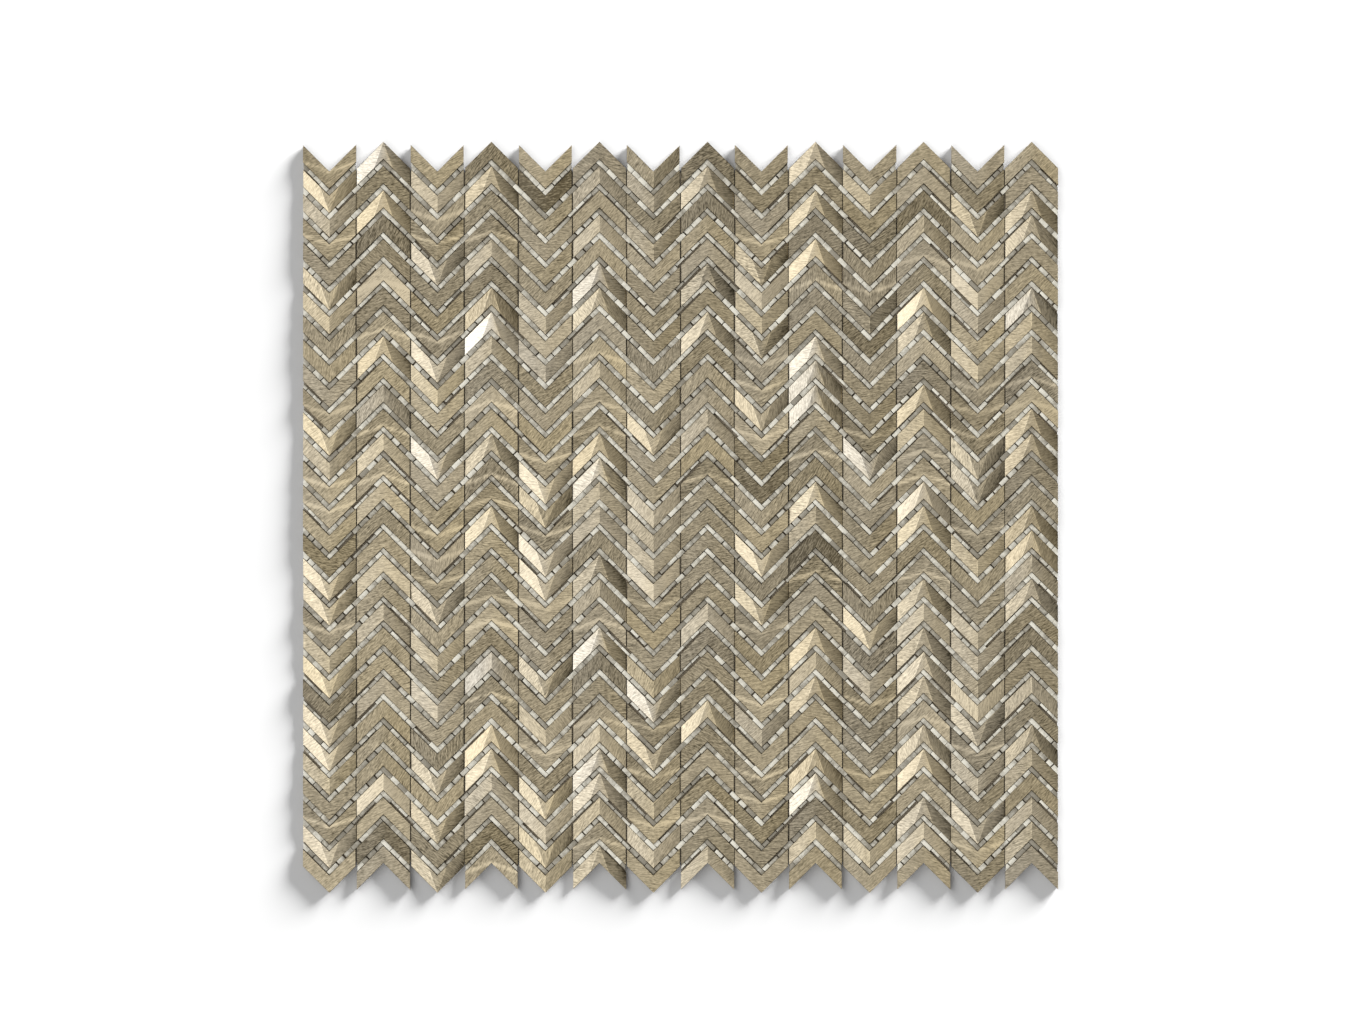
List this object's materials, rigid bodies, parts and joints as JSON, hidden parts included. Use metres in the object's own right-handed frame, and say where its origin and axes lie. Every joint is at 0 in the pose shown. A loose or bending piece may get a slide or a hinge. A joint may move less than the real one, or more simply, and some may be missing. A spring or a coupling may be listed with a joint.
{
  "type": "chevron metal mosaic tile sheet",
  "caption": "Square mosaic tile sheet of brushed aluminium chevron chips laid in alternating columns on a thin mesh backing, for covering a wall.",
  "frame": {"origin": "middle of the sheet, on the underside of the backing", "axes": "+X across the columns of chips, +Y up the columns, +Z out of the face"},
  "size_m": [0.3006, 0.2988, 0.0038],
  "materials": {
    "white_mesh": "matt white resin-coated glass-fibre mesh",
    "brushed_aluminium": "brushed, champagne toned"
  },
  "bodies": {
    "root": {"mesh_backing": "white_mesh", "chip_column_01": "brushed_aluminium", "chip_column_02": "brushed_aluminium", "chip_column_03": "brushed_aluminium", "chip_column_04": "brushed_aluminium", "chip_column_05": "brushed_aluminium", "chip_column_06": "brushed_aluminium", "chip_column_07": "brushed_aluminium", "chip_column_08": "brushed_aluminium", "chip_column_09": "brushed_aluminium", "chip_column_10": "brushed_aluminium", "chip_column_11": "brushed_aluminium", "chip_column_12": "brushed_aluminium", "chip_column_13": "brushed_aluminium", "chip_column_14": "brushed_aluminium"}
  },
  "joints": []
}
